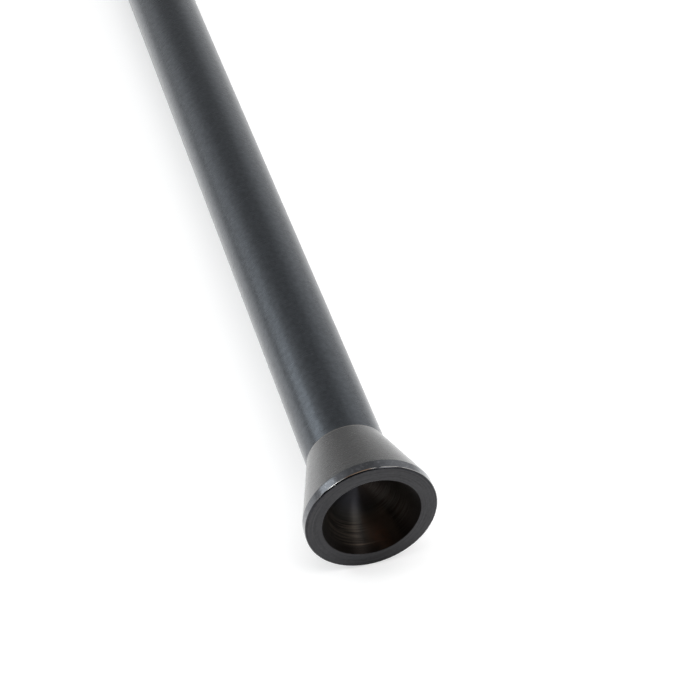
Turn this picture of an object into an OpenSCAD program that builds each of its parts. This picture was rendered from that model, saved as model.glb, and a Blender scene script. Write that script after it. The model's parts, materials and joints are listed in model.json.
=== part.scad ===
// Engine pushrod: one steel rod with a flared cup turned on one end and a domed tip on the other.
// It stands on the flat rim of its cup. The rod's axis is +Z and the rim lies on z = 0. Sizes are in millimetres.

/* [Rod] */
// Diameter of the plain rod
rod_d = 7.94; // [6:0.02:10]
// Overall length, from the rim of the cup to the crown of the domed tip
overall_length = 220; // [120:1:320]

/* [Cup] */
// Largest diameter of the cup, across its straight land
cup_d = 12.8; // [11.6:0.1:18]
// Length of the cup, from its rim to the foot of the cone
cup_length = 8.5; // [7:0.1:16]
// Length of the straight land, measured from the rim
land_length = 1.05; // [0.6:0.05:2.5]
// Rounding of the outer edge of the rim
rim_edge_r = 0.2; // [0.05:0.05:0.5]

/* [Ball seat] */
// Radius of the round seat that takes the ball
seat_r = 3.85; // [3:0.05:4]
// Diameter of the mouth, where the lead-in cone meets the rim
mouth_d = 9.6; // [9.2:0.05:10.4]
// Slope of the lead-in cone, measured from the axis
lead_angle = 25; // [20:1:32]

/* [Hidden] */
$fn = 160;

rod_r = rod_d / 2;
cup_r = cup_d / 2;
mouth_r = mouth_d / 2;

// Height at which the straight rod ends and the dome begins
dome_z = overall_length - rod_r;

// Height of the seat's centre, where the lead-in cone runs smoothly into the round seat
seat_z = (mouth_r - seat_r / cos(lead_angle)) / tan(lead_angle);

// Radius and height of the circle on which cone and seat meet
meet_r = seat_r * cos(lead_angle);
meet_z = seat_z + seat_r * sin(lead_angle);

// How far each cut runs past the surface that it opens
overcut = 0.3;

// Radius of the lead-in cone at height z
function lead_radius(z) = mouth_r - tan(lead_angle) * z;

// Half section of the cup's outside: flat rim, rounded edge, straight land and cone
module cup_section() {
    edge_x = cup_r - rim_edge_r;
    polygon([[0, 0], [edge_x, 0], [cup_r, rim_edge_r], [cup_r, land_length], [rod_r, cup_length], [0, cup_length]]);
    translate([edge_x, rim_edge_r]) circle(r = rim_edge_r);
}

// Rod and cup as one turned blank, before the seat is cut
module turned_blank() {
    rotate_extrude() cup_section();
    translate([0, 0, cup_length]) cylinder(h = dome_z - cup_length, r = rod_r);
    translate([0, 0, dome_z]) sphere(r = rod_r);
}

// Round seat with its lead-in cone, cut upwards from the rim
module ball_seat() {
    translate([0, 0, seat_z]) sphere(r = seat_r);
    translate([0, 0, -overcut]) cylinder(h = meet_z + overcut, r1 = lead_radius(-overcut), r2 = meet_r);
}

module pushrod() {
    color([0.16, 0.17, 0.18])
        difference() {
            turned_blank();
            ball_seat();
        }
}

pushrod();
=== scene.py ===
import json
import math
import random

import bmesh
import bpy
from mathutils import Matrix, Vector, noise


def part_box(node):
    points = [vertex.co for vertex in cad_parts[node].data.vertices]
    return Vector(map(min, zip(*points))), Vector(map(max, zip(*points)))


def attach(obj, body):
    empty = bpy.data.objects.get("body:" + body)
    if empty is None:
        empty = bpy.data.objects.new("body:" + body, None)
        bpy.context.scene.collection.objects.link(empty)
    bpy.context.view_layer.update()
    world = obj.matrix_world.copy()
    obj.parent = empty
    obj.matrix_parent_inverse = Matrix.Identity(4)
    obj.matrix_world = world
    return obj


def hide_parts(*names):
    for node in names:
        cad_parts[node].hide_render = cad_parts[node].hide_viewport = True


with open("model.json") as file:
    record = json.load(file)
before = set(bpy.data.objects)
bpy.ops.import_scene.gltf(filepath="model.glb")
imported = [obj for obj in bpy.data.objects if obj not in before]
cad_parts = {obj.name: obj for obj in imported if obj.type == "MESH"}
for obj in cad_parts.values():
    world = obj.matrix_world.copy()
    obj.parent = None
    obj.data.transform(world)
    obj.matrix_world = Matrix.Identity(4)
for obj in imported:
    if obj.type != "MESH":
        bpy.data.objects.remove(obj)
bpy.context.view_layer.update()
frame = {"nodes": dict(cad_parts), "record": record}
print("frame loaded:", sorted(frame["nodes"]))

mm = 0.001
scene = bpy.context.scene
scene.view_settings.view_transform = "Standard"

# what the frame already says about the part, in millimetres
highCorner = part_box("pushrod")[1]
mounts = {mount["name"]: mount for mount in frame["record"]["mounts"]}
shank = mounts["shank"]["dims"]
overallLength = highCorner.z / mm
cupRadius = highCorner.x / mm
rodRadius = shank["r_mm"]
domeHeight = overallLength - rodRadius
cupLength = domeHeight - shank["length_mm"]

# the turned part: sizes in millimetres, then how finely it is turned
turned = {
    "seatRadius": 3.85,
    "mouthRadius": 4.8,
    "leadAngle": 25,  # degrees from the axis
    "edgeRadius": 0.2,
    "landLength": 1.05,
    "cornerBreak": 0.03,
    "footLine": 0.09,
    "turnSteps": 240,
    "mergeWithin": 0.001,
    # cuts along each section, and the depth of the tool's rings on it
    "cuts": {"seat": 56, "leadIn": 60, "mouthEdge": 1, "rimFace": 30, "rimEdge": 10, "land": 14,
             "cone": 84, "coneFoot": 1, "shank": 40, "dome": 28},
    "rings": {"seat": 0.0012, "leadIn": 0.0012, "rimFace": 0.0006, "land": 0.0006, "cone": 0.0003,
              "dome": 0.0005},
    "ringSeed": 7,
    # knocks in the rim's edge; inside and above are shares of the edge's radius
    "nicks": {"depth": 0.02, "spread": 30, "rarity": 0.25, "lift": 0.6, "inside": 0.9, "above": 1.5},
}

# the lead-in cone runs smoothly into the round seat, which sets how deep the seat lies
leadAngle = math.radians(turned["leadAngle"])
seatCentre = (turned["mouthRadius"] - turned["seatRadius"] / math.cos(leadAngle)) / math.tan(leadAngle)
seatDepth = seatCentre + turned["seatRadius"]


def drawLine(bm, start, radius, height, cuts):
    # a straight section of the outline, pulled out point by point
    end = Vector((radius * mm, 0, height * mm))
    path = [start]
    for step in range(1, cuts + 2):
        tip = bmesh.ops.extrude_vert_indiv(bm, verts=[path[-1]])["verts"][0]
        tip.co = start.co.lerp(end, step / (cuts + 1))
        path.append(tip)
    return path


def drawArc(bm, start, centreRadius, centreHeight, degrees, steps):
    # a round section of the outline, swept about its centre
    centre = (centreRadius * mm, 0, centreHeight * mm)
    known = set(bm.verts)
    bmesh.ops.spin(bm, geom=[start], cent=centre, axis=(0, 1, 0), angle=math.radians(degrees),
                   steps=steps)
    swept = [vert for vert in bm.verts if vert not in known]
    return [start] + sorted(swept, key=lambda vert: (vert.co - start.co).length)


def scribeRings(path, depth, dice):
    # pushes each point of a section in or out, as the tool's feed leaves it
    offsets = []
    for before, here, after in zip(path, path[1:], path[2:]):
        along = (after.co - before.co).normalized()
        offsets.append((here, Vector((along.z, 0, -along.x)) * dice.uniform(-depth, depth) * mm))
    for point, offset in offsets:
        point.co += offset


def turnSection(whole, bm, path, depth, materialIndex, dice):
    # scribes one section of the outline, turns it round the axis and adds it to the whole
    scribeRings(path, depth, dice)
    end = path[-1].co.copy()
    bmesh.ops.spin(bm, geom=bm.verts[:] + bm.edges[:], cent=(0, 0, 0), axis=(0, 0, 1), angle=math.tau,
                   steps=turned["turnSteps"], use_merge=True)
    for face in bm.faces:
        face.material_index = materialIndex
        face.smooth = True
    shell = bpy.data.meshes.new("turnedSection")
    bm.to_mesh(shell)
    bm.free()
    whole.from_mesh(shell)
    bpy.data.meshes.remove(shell)
    return end


def nickRim(bm):
    # small knocks round the worn outer edge of the rim
    nicks = turned["nicks"]
    innerRadius = cupRadius - turned["edgeRadius"] * nicks["inside"]
    topHeight = turned["edgeRadius"] * nicks["above"]
    for vert in bm.verts:
        radius = vert.co.xy.length / mm
        if radius > innerRadius and vert.co.z / mm < topHeight:
            place = Vector((vert.co.x, vert.co.y, 0)).normalized() * nicks["spread"]
            bite = max(0, noise.noise(place) - nicks["rarity"]) * nicks["depth"]
            shrink = 1 - bite / radius
            vert.co.x *= shrink
            vert.co.y *= shrink
            vert.co.z += bite * mm * nicks["lift"]


def buildPushrod(materials):
    mouth = turned["mouthRadius"]
    edge = turned["edgeRadius"]
    corner = turned["cornerBreak"]
    cuts = turned["cuts"]
    faceEnd = cupRadius - edge

    dice = random.Random(turned["ringSeed"])
    whole = bmesh.new()
    tip = (0, 0, seatDepth * mm)
    # from the bottom of the seat, over the rim and along the rod to the crown of the dome
    outline = [
        ("seat", drawArc, (0, seatCentre, 90 - turned["leadAngle"])),
        ("leadIn", drawLine, (mouth - corner * math.sin(leadAngle), corner * math.cos(leadAngle))),
        ("mouthEdge", drawLine, (mouth + corner, 0)),
        ("rimFace", drawLine, (faceEnd, 0)),
        ("rimEdge", drawArc, (faceEnd, edge, -90)),
        ("land", drawLine, (cupRadius, turned["landLength"])),
        ("cone", drawLine, (rodRadius, cupLength)),
        ("coneFoot", drawLine, (rodRadius, cupLength + turned["footLine"])),
        ("shank", drawLine, (rodRadius, domeHeight)),
        ("dome", drawArc, (0, domeHeight, -90)),
    ]
    for name, draw, target in outline:
        bm = bmesh.new()
        path = draw(bm, bm.verts.new(tip), *target, cuts[name])
        depth = turned["rings"].get(name, 0)
        tip = turnSection(whole, bm, path, depth, list(materials).index(name), dice)

    bmesh.ops.remove_doubles(whole, verts=whole.verts, dist=turned["mergeWithin"] * mm)
    bmesh.ops.recalc_face_normals(whole, faces=whole.faces)
    nickRim(whole)
    mesh = bpy.data.meshes.new("turnedPushrod")
    whole.to_mesh(mesh)
    whole.free()
    for material in materials.values():
        mesh.materials.append(material)
    piece = bpy.data.objects.new("turnedPushrod", mesh)
    scene.collection.objects.link(piece)
    return piece


def put(tree, kind, sockets=None, **settings):
    # a node with its settings, and a value or a link for each socket named
    made = tree.nodes.new(kind)
    for key, value in settings.items():
        setattr(made, key, value)
    for key, value in (sockets or {}).items():
        if isinstance(value, bpy.types.NodeSocket):
            tree.links.new(value, made.inputs[key])
        else:
            made.inputs[key].default_value = value
    return made


def calc(tree, operation, first, second):
    return put(tree, "ShaderNodeMath", {0: first, 1: second}, operation=operation).outputs[0]


def times(tree, product, *factors):
    for factor in factors:
        product = calc(tree, "MULTIPLY", product, factor)
    return product


def sizeOf(tree, value):
    return put(tree, "ShaderNodeMath", {0: value}, operation="ABSOLUTE").outputs[0]


def weigh(tree, first, second, share):
    # two noises in one, the first at its share
    return calc(tree, "ADD", times(tree, first, share), times(tree, second, 1 - share))


def ramp(tree, value, limits, outs=(0, 1), smooth=False):
    kind = "SMOOTHSTEP" if smooth else "LINEAR"
    sockets = {"Value": value, "From Min": limits[0], "From Max": limits[1],
               "To Min": outs[0], "To Max": outs[1]}
    return put(tree, "ShaderNodeMapRange", sockets, interpolation_type=kind).outputs[0]


def lengthRamp(tree, length, limits, outs=(0, 1), smooth=False):
    # the same with its limits in millimetres
    return ramp(tree, length, [limit * mm for limit in limits], outs, smooth)


def blendColours(tree, share, first, second):
    # the mix node's colours are its inputs 6 and 7 and its output 2
    return put(tree, "ShaderNodeMix", {0: share, 6: first, 7: second}, data_type="RGBA").outputs[2]


def startMetal(name):
    # a steel with its own fields: place, height above the rim, distance and direction from the axis
    material = bpy.data.materials.new(name)
    material.use_nodes = True
    tree = material.node_tree
    shader = tree.nodes["Principled BSDF"]
    shader.inputs["Metallic"].default_value = 1
    place = put(tree, "ShaderNodeTexCoord").outputs["Object"]
    height = put(tree, "ShaderNodeSeparateXYZ", {0: place}).outputs["Z"]
    flat = put(tree, "ShaderNodeVectorMath", {0: place, 1: (1, 1, 0)}, operation="MULTIPLY").outputs[0]
    radius = put(tree, "ShaderNodeVectorMath", {0: flat}, operation="LENGTH").outputs["Value"]
    outward = put(tree, "ShaderNodeVectorMath", {0: flat}, operation="NORMALIZE").outputs[0]
    fields = {"place": place, "height": height, "radius": radius, "outward": outward}
    return material, tree, shader, fields


def facing(tree, fields, way, limits, outs=(0, 1)):
    # the side of the part that lies one way from the axis; limits are cosines of the angle from that way
    turn = put(tree, "ShaderNodeVectorMath", {0: fields["outward"], 1: way}, operation="DOT_PRODUCT")
    return ramp(tree, turn.outputs["Value"], limits, outs, smooth=True)


def turnedNoise(tree, fields, along, pitch, around, detail=2.0):
    # noise drawn out round the axis: pitch in millimetres along the section, around in features per turn
    steps = times(tree, along, 1 / (pitch * mm))
    climb = put(tree, "ShaderNodeCombineXYZ", {"Z": steps}).outputs[0]
    turn = put(tree, "ShaderNodeVectorMath", {0: fields["outward"], "Scale": around}, operation="SCALE")
    joined = put(tree, "ShaderNodeVectorMath", {0: climb, 1: turn.outputs[0]}, operation="ADD").outputs[0]
    return put(tree, "ShaderNodeTexNoise", {"Vector": joined, "Scale": 1.0, "Detail": detail}).outputs[0]


def grainNoise(tree, fields, size, detail=3.0):
    sockets = {"Vector": fields["place"], "Scale": 1 / (size * mm), "Detail": detail}
    return put(tree, "ShaderNodeTexNoise", sockets).outputs[0]


def setBump(tree, shader, height, depth):
    bump = put(tree, "ShaderNodeBump", {"Height": height, "Distance": depth * mm, "Strength": 1.0})
    tree.links.new(bump.outputs[0], shader.inputs["Normal"])


def setTurnedGloss(tree, shader, amount):
    # grooves run round the axis, so highlights are drawn out across them
    quarterTurn = 0.25
    shader.inputs["Anisotropic"].default_value = amount
    shader.inputs["Anisotropic Rotation"].default_value = quarterTurn
    tangent = put(tree, "ShaderNodeTangent", direction_type="RADIAL", axis="Z")
    tree.links.new(tangent.outputs[0], shader.inputs["Tangent"])


def oxideShank():
    look = {
        "dark": (0.059, 0.0645, 0.0715, 1), "pale": (0.078, 0.0855, 0.095, 1), "spread": (0.3, 0.7),
        "grain": 0.5, "lines": 0.2, "linesAround": 3.0, "rough": (0.24, 0.29), "bumpDepth": 0.0007,
    }
    material, tree, shader, fields = startMetal("oxideShank")
    grain = grainNoise(tree, fields, look["grain"])
    lines = turnedNoise(tree, fields, fields["height"], look["lines"], look["linesAround"])
    colour = blendColours(tree, ramp(tree, grain, look["spread"]), look["dark"], look["pale"])
    tree.links.new(colour, shader.inputs["Base Color"])
    tree.links.new(ramp(tree, lines, look["spread"], look["rough"]), shader.inputs["Roughness"])
    setBump(tree, shader, calc(tree, "ADD", grain, lines), look["bumpDepth"])
    return material


def turnedCone():
    look = {
        "dark": (0.099, 0.0997, 0.100, 1), "pale": (0.111, 0.1117, 0.112, 1), "spread": (0.36, 0.64),
        "grain": 0.16, "grainShare": 0.55,
        "lines": 0.15, "linesAround": 2.5, "linesShare": 0.6, "fineLines": 0.05, "fineAround": 4.0,
        "rough": (0.255, 0.285), "roughSpread": (0.35, 0.65), "gloss": 0.3, "bumpDepth": 0.0002,
    }
    speck = {"colour": (0.24, 0.235, 0.225, 1), "size": 0.11, "detail": 1.0, "limits": (0.68, 0.78),
             "share": 0.45}
    # painted highlight: a thin bright line round the cone's foot
    footHighlight = {"colour": (0.23, 0.22, 0.205, 1), "width": 0.13, "fade": 0.03, "grain": (0.35, 0.5),
            "least": 0.4}

    material, tree, shader, fields = startMetal("turnedCone")
    grain = grainNoise(tree, fields, look["grain"])
    lines = turnedNoise(tree, fields, fields["height"], look["lines"], look["linesAround"])
    fine = turnedNoise(tree, fields, fields["height"], look["fineLines"], look["fineAround"])
    cut = weigh(tree, lines, fine, look["linesShare"])
    mixed = weigh(tree, grain, cut, look["grainShare"])
    colour = blendColours(tree, ramp(tree, mixed, look["spread"]), look["dark"], look["pale"])
    dust = grainNoise(tree, fields, speck["size"], speck["detail"])
    specks = ramp(tree, dust, speck["limits"], (0, speck["share"]))
    colour = blendColours(tree, specks, colour, speck["colour"])

    # a thin bright line painted round the cone's foot: a painted highlight, as a small fillet there would
    # catch the light
    footStart = cupLength - footHighlight["width"]
    line = times(tree, lengthRamp(tree, fields["height"], (footStart, footStart + footHighlight["fade"])),
                 ramp(tree, grain, footHighlight["grain"], (footHighlight["least"], 1)))
    colour = blendColours(tree, line, colour, footHighlight["colour"])
    tree.links.new(colour, shader.inputs["Base Color"])
    tree.links.new(ramp(tree, cut, look["roughSpread"], look["rough"]), shader.inputs["Roughness"])
    setTurnedGloss(tree, shader, look["gloss"])
    setBump(tree, shader, cut, look["bumpDepth"])
    return material


def bareStrip(tree, fields):
    # where handling has worn the rim's outer edge down to bright steel, in patches round the edge
    strip = {"low": 0.12, "high": 0.165, "fade": 0.03, "patch": 1.3, "patchDetail": 5.0,
             "worn": (0.33, 0.47), "way": (-0.06, -0.998, 0), "limits": (0.55, 0.72)}
    rise = lengthRamp(tree, fields["height"], (strip["low"], strip["low"] + strip["fade"]))
    fall = lengthRamp(tree, fields["height"], (strip["high"], strip["high"] + strip["fade"]), (1, 0))
    worn = ramp(tree, grainNoise(tree, fields, strip["patch"], strip["patchDetail"]), strip["worn"])
    handled = facing(tree, fields, strip["way"], strip["limits"])
    return times(tree, rise, fall, worn, handled)


def bareSteel(tree, fields):
    # bright steel that has browned a little in places
    steel = {"bright": (0.48, 0.47, 0.46, 1), "brown": (0.20, 0.13, 0.085, 1), "way": (-0.21, -0.978, 0),
             "limits": (0.97, 0.99)}
    share = facing(tree, fields, steel["way"], steel["limits"])
    return blendColours(tree, share, steel["bright"], steel["brown"])


def oxideLand():
    look = {
        "dark": (0.074, 0.077, 0.083, 1), "pale": (0.106, 0.110, 0.119, 1), "spread": (0.3, 0.7),
        "grain": 0.13, "rough": (0.13, 0.21), "gloss": 0.2, "bumpDepth": 0.0022,
    }
    scuff = {"colour": (0.22, 0.225, 0.24, 1), "size": 0.32, "detail": 5.0, "limits": (0.55, 0.7),
             "share": 0.5}
    material, tree, shader, fields = startMetal("oxideLand")
    grain = grainNoise(tree, fields, look["grain"])
    colour = blendColours(tree, ramp(tree, grain, look["spread"]), look["dark"], look["pale"])
    rubs = grainNoise(tree, fields, scuff["size"], scuff["detail"])
    scuffs = ramp(tree, rubs, scuff["limits"], (0, scuff["share"]))
    colour = blendColours(tree, scuffs, colour, scuff["colour"])
    colour = blendColours(tree, bareStrip(tree, fields), colour, bareSteel(tree, fields))
    tree.links.new(colour, shader.inputs["Base Color"])
    tree.links.new(ramp(tree, grain, look["spread"], look["rough"]), shader.inputs["Roughness"])
    setTurnedGloss(tree, shader, look["gloss"])
    setBump(tree, shader, grain, look["bumpDepth"])
    return material


def wornEdge():
    look = {
        "dark": (0.022, 0.022, 0.024, 1), "pale": (0.034, 0.034, 0.037, 1), "spread": (0.3, 0.7),
        "grain": 0.3, "rough": (0.18, 0.26),
    }
    material, tree, shader, fields = startMetal("wornEdge")
    grain = grainNoise(tree, fields, look["grain"])
    colour = blendColours(tree, ramp(tree, grain, look["spread"]), look["dark"], look["pale"])
    colour = blendColours(tree, bareStrip(tree, fields), colour, bareSteel(tree, fields))
    tree.links.new(colour, shader.inputs["Base Color"])
    tree.links.new(ramp(tree, grain, look["spread"], look["rough"]), shader.inputs["Roughness"])
    return material


def facedRim():
    look = {
        "dark": (0.026, 0.0258, 0.0272, 1), "pale": (0.046, 0.0457, 0.048, 1), "spread": (0.35, 0.65),
        "lines": 0.13, "linesAround": 1.5, "linesDetail": 3.0, "grain": 0.3, "grainShare": 0.3,
        "rough": (0.34, 0.46), "roughSpread": (0.3, 0.7), "gloss": 0.4, "bumpDepth": 0.003,
    }
    material, tree, shader, fields = startMetal("facedRim")
    along = fields["radius"]
    lines = turnedNoise(tree, fields, along, look["lines"], look["linesAround"], look["linesDetail"])
    grain = grainNoise(tree, fields, look["grain"])
    mixed = weigh(tree, grain, lines, look["grainShare"])
    colour = blendColours(tree, ramp(tree, mixed, look["spread"]), look["dark"], look["pale"])
    tree.links.new(colour, shader.inputs["Base Color"])
    tree.links.new(ramp(tree, lines, look["roughSpread"], look["rough"]), shader.inputs["Roughness"])
    setTurnedGloss(tree, shader, look["gloss"])
    setBump(tree, shader, lines, look["bumpDepth"])
    return material


# what lies on the bored steel of the seat, painted shade and highlights among it: heights in millimetres
# above the rim, ways out from the axis
seatLook = {
    "dark": (0.006, 0.0047, 0.0038, 1), "pale": (0.024, 0.0215, 0.0195, 1), "spread": (0.4, 0.6),
    "lines": 0.14, "linesAround": 1.1, "linesDetail": 3.0,
    "fineLines": 0.05, "fineAround": 1.2, "fineShare": 0.35,
    "rough": (0.40, 0.52), "roughSpread": (0.3, 0.7), "metal": 0.86, "film": 0.15, "gloss": 0.84,
    "bumpDepth": 0.004,
    # painted sheen further in and at the bottom of the seat
    "innerSheen": {"colour": (0.028, 0.0262, 0.0243, 1), "heights": (2.4, 3.4), "share": 0.6},
    "bottomSheen": {"colour": (0.0215, 0.0217, 0.0262, 1), "heights": (3.4, 4.4), "share": 0.8},
    "gold": {"colour": (0.050, 0.040, 0.031, 1), "way": (-0.72, 0.69, 0), "limits": (0.72, 0.94),
             "share": 0.6, "rings": (0.44, 0.6), "rise": (0.6, 1.1), "fall": (2.6, 3.2)},
    # painted shade down the right side of the seat
    "rightShade": {"colour": (0.0125, 0.008, 0.0058, 1), "ringColour": (0.0255, 0.0222, 0.0188, 1),
            "limits": (0.3, 0.62), "share": 0.85, "rings": (0.42, 0.6), "heights": (1.2, 2.8),
            "ringLeast": 0.5},
    # burnt brown, brighter beside the streak: partly a painted highlight
    "burntAndSheen": {"colour": (0.050, 0.0335, 0.024, 1), "way": (0.342, 0.940, 0), "limits": (0.90, 0.98),
              "share": 0.8, "heights": (2.8, 4.0)},
    # painted shade at the bottom of the seat beside the streak
    "pit": {"colour": (0.0125, 0.009, 0.007, 1), "heights": (3.3, 4.1), "share": 0.75,
            "rise": (-0.05, 0.2), "fall": (0.5, 0.8)},
    "rust": {"colour": (0.066, 0.030, 0.018, 1), "way": (0.282, 0.959, 0), "limits": (0.965, 0.995),
             "share": 0.75, "heights": (1.3, 2.9), "patch": 0.4, "patchLimits": (0.38, 0.6),
             "patchLeast": 0.35},
    # painted shade towards the mouth of the seat
    "mouthShade": {"colour": (0.005, 0.0037, 0.003, 1), "heights": (0, 2.4),
             "thinWay": (0.545, 0.839, 0), "thinLimits": (0.9, 0.985), "thinShare": 0.6},
    # painted highlight: a brown band near the mouth where the streak crosses
    "bandHighlight": {"colour": (0.038, 0.029, 0.023, 1), "way": (-0.2, 0.98, 0), "limits": (0.88, 0.97),
             "share": 0.65, "height": 0.9, "halfWidth": 0.11},
}


def stainAndShadeSeat(tree, fields, lines, rings, colour):
    # lays stains, rust, painted shade and painted highlights over the bored steel, one after the other
    height = fields["height"]
    right = put(tree, "ShaderNodeSeparateXYZ", {0: fields["outward"]}).outputs["X"]

    # straw-brown rings low on the left
    gold = seatLook["gold"]
    share = times(tree, facing(tree, fields, gold["way"], gold["limits"], (0, gold["share"])),
                  ramp(tree, lines, gold["rings"]),
                  lengthRamp(tree, height, gold["rise"]),
                  lengthRamp(tree, height, gold["fall"], (1, 0)))
    colour = blendColours(tree, share, colour, gold["colour"])

    # painted shade down the right side, with the rings showing through
    rightShade = seatLook["rightShade"]
    through = times(tree, ramp(tree, rings, rightShade["rings"]),
                    lengthRamp(tree, height, rightShade["heights"], (rightShade["ringLeast"], 1)))
    share = ramp(tree, right, rightShade["limits"], (0, rightShade["share"]), smooth=True)
    colour = blendColours(tree, share, colour, blendColours(tree, through, rightShade["colour"], rightShade["ringColour"]))

    # burnt brown on the lower wall, made brighter beside the streak: partly a painted highlight of the
    # streak's tail
    burntAndSheen = seatLook["burntAndSheen"]
    share = times(tree, facing(tree, fields, burntAndSheen["way"], burntAndSheen["limits"], (0, burntAndSheen["share"])),
                  lengthRamp(tree, height, burntAndSheen["heights"], (1, 0), smooth=True))
    colour = blendColours(tree, share, colour, burntAndSheen["colour"])

    # painted shade: the bottom is kept dark beside the streak of light
    pit = seatLook["pit"]
    share = times(tree, lengthRamp(tree, height, pit["heights"], (0, pit["share"]), smooth=True),
                  ramp(tree, right, pit["rise"], smooth=True),
                  ramp(tree, right, pit["fall"], (1, 0), smooth=True))
    colour = blendColours(tree, share, colour, pit["colour"])

    # patches of rust low on the wall
    rust = seatLook["rust"]
    patches = grainNoise(tree, fields, rust["patch"])
    share = times(tree, facing(tree, fields, rust["way"], rust["limits"], (0, rust["share"])),
                  ramp(tree, patches, rust["patchLimits"], (rust["patchLeast"], 1)),
                  lengthRamp(tree, height, rust["heights"], (1, 0), smooth=True))
    colour = blendColours(tree, share, colour, rust["colour"])

    # painted shade, darker towards the mouth and less dark low on the right
    mouthShade = seatLook["mouthShade"]
    share = times(tree, lengthRamp(tree, height, mouthShade["heights"], (1, 0), smooth=True),
                  facing(tree, fields, mouthShade["thinWay"], mouthShade["thinLimits"], (1, mouthShade["thinShare"])))
    colour = blendColours(tree, share, colour, mouthShade["colour"])

    # painted highlight: a brighter brown band near the mouth, only where the streak of light crosses it
    bandHighlight = seatLook["bandHighlight"]
    offset = sizeOf(tree, calc(tree, "SUBTRACT", height, bandHighlight["height"] * mm))
    share = times(tree, lengthRamp(tree, offset, (0, bandHighlight["halfWidth"]), (bandHighlight["share"], 0), smooth=True),
                  facing(tree, fields, bandHighlight["way"], bandHighlight["limits"]))
    return blendColours(tree, share, colour, bandHighlight["colour"])


def boredSeat():
    look = seatLook
    material, tree, shader, fields = startMetal("boredSeat")
    bottom = (0, 0, seatDepth * mm)
    reach = put(tree, "ShaderNodeVectorMath", {0: fields["place"], 1: bottom}, operation="DISTANCE")
    along = reach.outputs["Value"]
    lines = turnedNoise(tree, fields, along, look["lines"], look["linesAround"], look["linesDetail"])
    fine = turnedNoise(tree, fields, along, look["fineLines"], look["fineAround"])
    rings = weigh(tree, fine, lines, look["fineShare"])
    colour = blendColours(tree, ramp(tree, rings, look["spread"]), look["dark"], look["pale"])
    # painted sheen: brighter further in, and bluer at the bottom
    for coat in (look["innerSheen"], look["bottomSheen"]):
        share = lengthRamp(tree, fields["height"], coat["heights"], (0, coat["share"]))
        colour = blendColours(tree, share, colour, coat["colour"])
    colour = stainAndShadeSeat(tree, fields, lines, rings, colour)
    tree.links.new(colour, shader.inputs["Base Color"])
    tree.links.new(ramp(tree, lines, look["roughSpread"], look["rough"]), shader.inputs["Roughness"])
    shader.inputs["Metallic"].default_value = look["metal"]
    shader.inputs["Specular IOR Level"].default_value = look["film"]
    setTurnedGloss(tree, shader, look["gloss"])
    setBump(tree, shader, rings, look["bumpDepth"])
    return material


# materials by the section of the outline that they finish
shankMetal = oxideShank()
rimMetal = facedRim()
seatMetal = boredSeat()
finishes = {
    "seat": seatMetal,
    "leadIn": seatMetal,
    "mouthEdge": rimMetal,
    "rimFace": rimMetal,
    "rimEdge": wornEdge(),
    "land": oxideLand(),
    "cone": turnedCone(),
    "coneFoot": shankMetal,
    "shank": shankMetal,
    "dome": shankMetal,
}
print("sections with a finish:", len(finishes))

pushrod = buildPushrod(finishes)
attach(pushrod, "root")
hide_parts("pushrod")
print("pushrod turned:", len(pushrod.data.polygons), "faces")

# the pale floor that the rod lies along, size in metres: it touches the cup's land and the dome
floorLook = {
    "size": 3.0, "colour": (0.80, 0.80, 0.80, 1), "whiteGlow": 0.27, "mirrorGlow": 0.62,
    # painted shadow close under the part, in what the metal mirrors
    "nearShadow": 3.5, "nearSamples": 8, "nearPower": 4, "nearShare": 0.6,
    # where its mirrored glow fades, in millimetres to the side and along the rod
    "fadeSide": (14, 34), "fadeBack": (40, 75), "fadeRight": (2, 8), "fadeBehind": (20, 32),
    "fadeShare": 0.45, "sideChange": (-1, 1),
}


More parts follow.
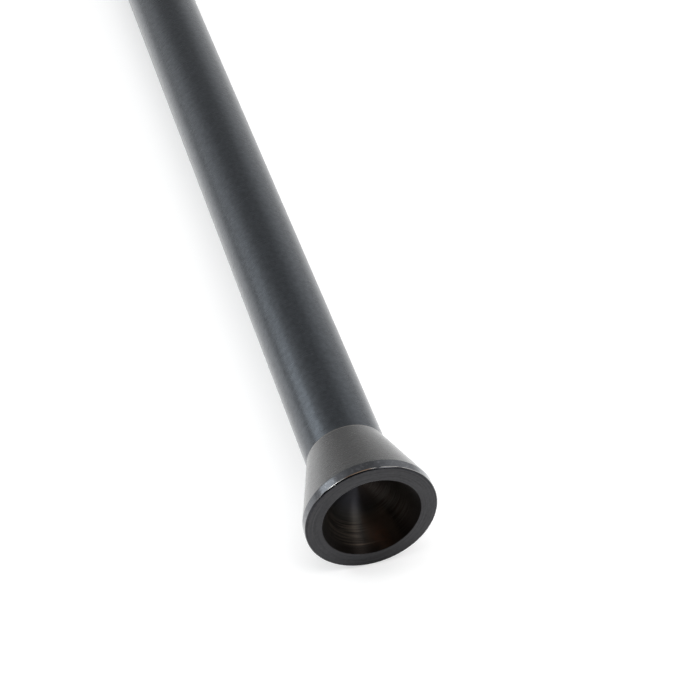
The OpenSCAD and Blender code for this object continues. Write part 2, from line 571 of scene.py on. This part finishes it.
def paintFloor():
    material = bpy.data.materials.new("paleFloor")
    material.use_nodes = True
    tree = material.node_tree
    tree.nodes.clear()
    paths = put(tree, "ShaderNodeLightPath").outputs
    place = put(tree, "ShaderNodeTexCoord").outputs["Object"]
    axes = put(tree, "ShaderNodeSeparateXYZ", {0: place}).outputs

    # painted shadow: close under the part the floor is dark in what the metal mirrors
    mirror = calc(tree, "MAXIMUM", paths["Is Glossy Ray"], paths["Is Transmission Ray"])
    distance = floorLook["nearShadow"] * mm
    near = put(tree, "ShaderNodeAmbientOcclusion", {"Distance": distance}, samples=floorLook["nearSamples"])
    openness = near.outputs["AO"]
    dark = times(tree, mirror, ramp(tree, openness, (0, 1), (floorLook["nearShare"], 0)))
    tone = blendColours(tree, dark, floorLook["colour"], (0, 0, 0, 1))

    # painted shade in the mirrored glow: dimmer far back on both sides, and on the right from nearer on
    beside = lengthRamp(tree, sizeOf(tree, axes["X"]), floorLook["fadeSide"], smooth=True)
    sideShare = lengthRamp(tree, axes["X"], floorLook["sideChange"], (1, floorLook["fadeShare"]))
    back = lengthRamp(tree, axes["Z"], floorLook["fadeBack"], smooth=True)
    farFade = calc(tree, "SUBTRACT", 1.0, times(tree, beside, sideShare, back))
    right = lengthRamp(tree, axes["X"], floorLook["fadeRight"], smooth=True)
    behind = lengthRamp(tree, axes["Z"], floorLook["fadeBehind"], (0, floorLook["fadeShare"]), smooth=True)
    rightFade = calc(tree, "SUBTRACT", 1.0, times(tree, right, behind))

    nearFade = calc(tree, "POWER", openness, floorLook["nearPower"])
    mirrored = times(tree, mirror, floorLook["mirrorGlow"], nearFade, farFade, rightFade)
    seen = times(tree, paths["Is Camera Ray"], floorLook["whiteGlow"])
    glow = put(tree, "ShaderNodeEmission", {"Strength": calc(tree, "MAXIMUM", seen, mirrored)})
    matt = put(tree, "ShaderNodeBsdfDiffuse", {"Color": tone})
    front = put(tree, "ShaderNodeAddShader", {0: matt.outputs[0], 1: glow.outputs[0]})

    # clear from behind, so that the part can be looked at from every side
    side = put(tree, "ShaderNodeNewGeometry").outputs["Backfacing"]
    clear = put(tree, "ShaderNodeBsdfTransparent")
    both = put(tree, "ShaderNodeMixShader", {0: side, 1: front.outputs[0], 2: clear.outputs[0]})
    out = put(tree, "ShaderNodeOutputMaterial")
    tree.links.new(both.outputs[0], out.inputs["Surface"])
    return material


def layFloor():
    landMiddle = (turned["edgeRadius"] + turned["landLength"]) / 2
    lean = math.atan2(cupRadius - rodRadius, domeHeight - landMiddle)
    stand = Matrix.Rotation(math.radians(90) + lean, 4, "X")
    touch = Matrix.Translation((0, cupRadius * mm, landMiddle * mm))
    bm = bmesh.new()
    bmesh.ops.create_grid(bm, x_segments=1, y_segments=1, size=floorLook["size"] / 2)
    bmesh.ops.transform(bm, matrix=touch @ stand, verts=bm.verts)
    mesh = bpy.data.meshes.new("paleFloor")
    bm.to_mesh(mesh)
    bm.free()
    mesh.materials.append(paintFloor())
    floor = bpy.data.objects.new("paleFloor", mesh)
    scene.collection.objects.link(floor)


layFloor()
print("floor laid")

# soft studio light, in metres: -Y of the part's frame is up from the floor, and -Z is towards the camera
lamps = {
    "leftSoftbox": {"towards": (-0.72, -0.33, 0.6), "away": 0.6, "size": (0.24, 0.18), "radiance": 2.15,
                    "colour": (0.90, 0.965, 1.0)},
    # no shadow: its streak shows in the seat, and beside the rod the floor stays white
    "frontKey": {"towards": (0.49, -0.73, -0.475), "away": 0.6, "size": (0.20, 0.20), "radiance": 14.0,
                 "colour": (1.0, 1.0, 1.0), "shadow": False},
    "edgeLight": {"towards": (-0.755, -0.62, 0.17), "away": 0.6, "size": (0.12, 0.09), "radiance": 14.0,
                  "colour": (0.95, 0.98, 1.0)},
    "topSoftbox": {"towards": (0.0, -1.0, 0.02), "away": 0.7, "size": (0.5, 0.5), "radiance": 1.6,
                   "colour": (1.0, 1.0, 1.0)},
}


def hangLamps():
    for name, lamp in lamps.items():
        data = bpy.data.lights.new(name, "AREA")
        data.shape = "RECTANGLE"
        data.size, data.size_y = lamp["size"]
        data.energy = lamp["radiance"] * math.pi * data.size * data.size_y
        data.color = lamp["colour"]
        data.use_shadow = lamp.get("shadow", True)
        light = bpy.data.objects.new(name, data)
        towards = Vector(lamp["towards"]).normalized()
        light.location = towards * lamp["away"]
        light.rotation_mode = "QUATERNION"
        light.rotation_quaternion = towards.to_track_quat("Z", "Y")
        light.visible_camera = False
        scene.collection.objects.link(light)


# the room round the part: brightness, and between which directions it changes
skyLook = {
    "middle": 0.48, "sides": 1.16, "sideLimits": (0.15, 0.7),
    "horizon": 0.208, "horizonLift": (0.1, 0.4), "horizonWidth": (0.25, 0.6),
    "front": 0.07, "frontLimits": (0.1, 0.55), "frontLean": 0.8, "frontLift": (-0.05, 0.15),
    "white": 1.0,  # what the camera sees
}


def paintSky():
    world = bpy.data.worlds.new("studio")
    world.use_nodes = True
    scene.world = world
    tree = world.node_tree
    tree.nodes.clear()
    paths = put(tree, "ShaderNodeLightPath").outputs
    way = put(tree, "ShaderNodeTexCoord").outputs["Generated"]
    axes = put(tree, "ShaderNodeSeparateXYZ", {0: way}).outputs
    lift = times(tree, axes["Y"], -1)
    sideways = sizeOf(tree, axes["X"])

    # bright on both sides, dimmer in the middle but for a glow low behind the part
    room = ramp(tree, sideways, skyLook["sideLimits"], (skyLook["middle"], skyLook["sides"]), smooth=True)
    low = times(tree, ramp(tree, lift, skyLook["horizonLift"], (skyLook["horizon"], 0), smooth=True),
                ramp(tree, sideways, skyLook["horizonWidth"], (1, 0)))
    room = calc(tree, "ADD", room, low)

    # dark in front, where the camera stands
    ahead = calc(tree, "ADD", times(tree, axes["Z"], -1), times(tree, axes["X"], -skyLook["frontLean"]))
    front = times(tree, ramp(tree, ahead, skyLook["frontLimits"], smooth=True),
                  ramp(tree, lift, skyLook["frontLift"]))
    lit = times(tree, room, ramp(tree, front, (0, 1), (1, skyLook["front"])))
    strength = ramp(tree, paths["Is Camera Ray"], (0, 1), (lit, skyLook["white"]))
    back = put(tree, "ShaderNodeBackground", {"Color": (1, 1, 1, 1), "Strength": strength})
    out = put(tree, "ShaderNodeOutputWorld")
    tree.links.new(back.outputs[0], out.inputs["Surface"])


hangLamps()
paintSky()
print("light set")

# the photograph's camera, in millimetres: pitch is down to the floor, turn is away from the rod
view = {"place": (-34.894, -126.366, -113.302), "pitch": 41.68, "turn": 16.13, "lens": 95.91, "sensor": 36.0,
        "clipStart": 5.0}


def setCamera():
    pitch = math.radians(view["pitch"])
    turn = math.radians(view["turn"])
    forward = Vector((math.cos(pitch) * math.sin(turn), math.sin(pitch), math.cos(pitch) * math.cos(turn)))
    right = Vector((math.cos(turn), 0, -math.sin(turn)))
    up = right.cross(forward)
    data = bpy.data.cameras.new("photoCamera")
    data.lens = view["lens"]
    data.sensor_width = view["sensor"]
    data.clip_start = view["clipStart"] * mm
    camera = bpy.data.objects.new("photoCamera", data)
    turnMatrix = Matrix((right, up, -forward)).transposed().to_4x4()
    camera.matrix_world = Matrix.Translation(Vector(view["place"]) * mm) @ turnMatrix
    scene.collection.objects.link(camera)
    scene.camera = camera


setCamera()
print("camera set")
